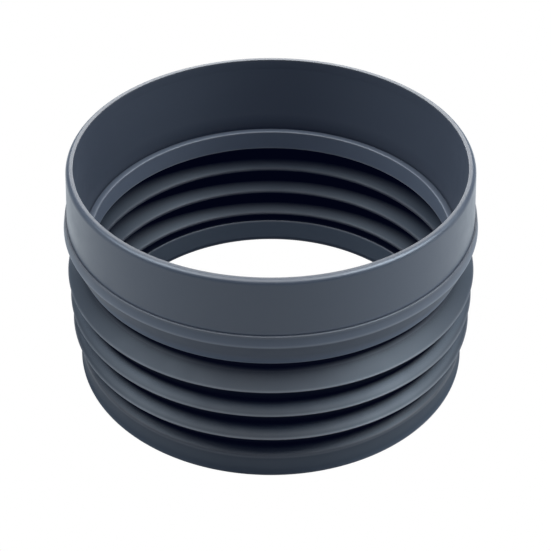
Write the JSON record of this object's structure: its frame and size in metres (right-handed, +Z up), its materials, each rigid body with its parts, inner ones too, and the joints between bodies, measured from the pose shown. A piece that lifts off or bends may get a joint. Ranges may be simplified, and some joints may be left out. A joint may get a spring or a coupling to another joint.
{
  "type": "folding wash tub wall",
  "caption": "Round folding tub wall for a portable mini washer: stiff collar, soft bellows that folds flat, and stiff base ring, open top and bottom.",
  "frame": {"origin": "centre of the foot, where the tub's upright axis meets the plane it stands on", "axes": "+Z up along the tub's axis, towards the mouth; the wall is a body of revolution, so +X and +Y are any two level directions at right angles"},
  "size_m": [0.292, 0.292, 0.1642],
  "materials": {
    "collar_pp": "satin moulded, dark blue-grey",
    "soft_tpe": "fine matte, dark blue-grey",
    "base_pp": "matte moulded, dark blue-grey"
  },
  "bodies": {
    "base": {"base_ring": "base_pp", "lower_cuff": "soft_tpe", "fold_web_7": "soft_tpe"},
    "valley_3": {"valley_ring_3": "soft_tpe", "fold_web_6": "soft_tpe"},
    "crest_3": {"crest_ring_3": "soft_tpe", "fold_web_5": "soft_tpe"},
    "valley_2": {"valley_ring_2": "soft_tpe", "fold_web_4": "soft_tpe"},
    "crest_2": {"crest_ring_2": "soft_tpe", "fold_web_3": "soft_tpe"},
    "valley_1": {"valley_ring_1": "soft_tpe", "fold_web_2": "soft_tpe"},
    "crest_1": {"crest_ring_1": "soft_tpe", "fold_web_1": "soft_tpe"},
    "collar": {"upper_collar": "collar_pp", "upper_cuff": "soft_tpe"}
  },
  "joints": [
    {"name": "fold_7", "type": "slide", "parent": "base", "child": "valley_3", "axis": [0, 0, -1], "range_m": [0, 0.00168], "stiffness_N_per_m": 6000, "springref_m": -0.0015, "deforming": ["fold_web_7"]},
    {"name": "fold_6", "type": "slide", "parent": "valley_3", "child": "crest_3", "axis": [0, 0, -1], "range_m": [0, 0.00816], "stiffness_N_per_m": 6000, "springref_m": -0.0015, "deforming": ["fold_web_6"]},
    {"name": "fold_5", "type": "slide", "parent": "crest_3", "child": "valley_2", "axis": [0, 0, -1], "range_m": [0, 0.00257], "stiffness_N_per_m": 6000, "springref_m": -0.0015, "deforming": ["fold_web_5"]},
    {"name": "fold_4", "type": "slide", "parent": "valley_2", "child": "crest_2", "axis": [0, 0, -1], "range_m": [0, 0.00816], "stiffness_N_per_m": 6000, "springref_m": -0.0015, "deforming": ["fold_web_4"]},
    {"name": "fold_3", "type": "slide", "parent": "crest_2", "child": "valley_1", "axis": [0, 0, -1], "range_m": [0, 0.00257], "stiffness_N_per_m": 6000, "springref_m": -0.0015, "deforming": ["fold_web_3"]},
    {"name": "fold_2", "type": "slide", "parent": "valley_1", "child": "crest_1", "axis": [0, 0, -1], "range_m": [0, 0.00816], "stiffness_N_per_m": 6000, "springref_m": -0.0015, "deforming": ["fold_web_2"]},
    {"name": "fold_1", "type": "slide", "parent": "crest_1", "child": "collar", "axis": [0, 0, -1], "range_m": [0, 0.00524], "stiffness_N_per_m": 6000, "springref_m": -0.0015, "deforming": ["fold_web_1"]}
  ],
  "couplings": [
    {"joint": "fold_7", "follows": "fold_1", "ratio": 0.32},
    {"joint": "fold_6", "follows": "fold_1", "ratio": 1.5571},
    {"joint": "fold_5", "follows": "fold_1", "ratio": 0.49},
    {"joint": "fold_4", "follows": "fold_1", "ratio": 1.5571},
    {"joint": "fold_3", "follows": "fold_1", "ratio": 0.49},
    {"joint": "fold_2", "follows": "fold_1", "ratio": 1.5571}
  ]
}
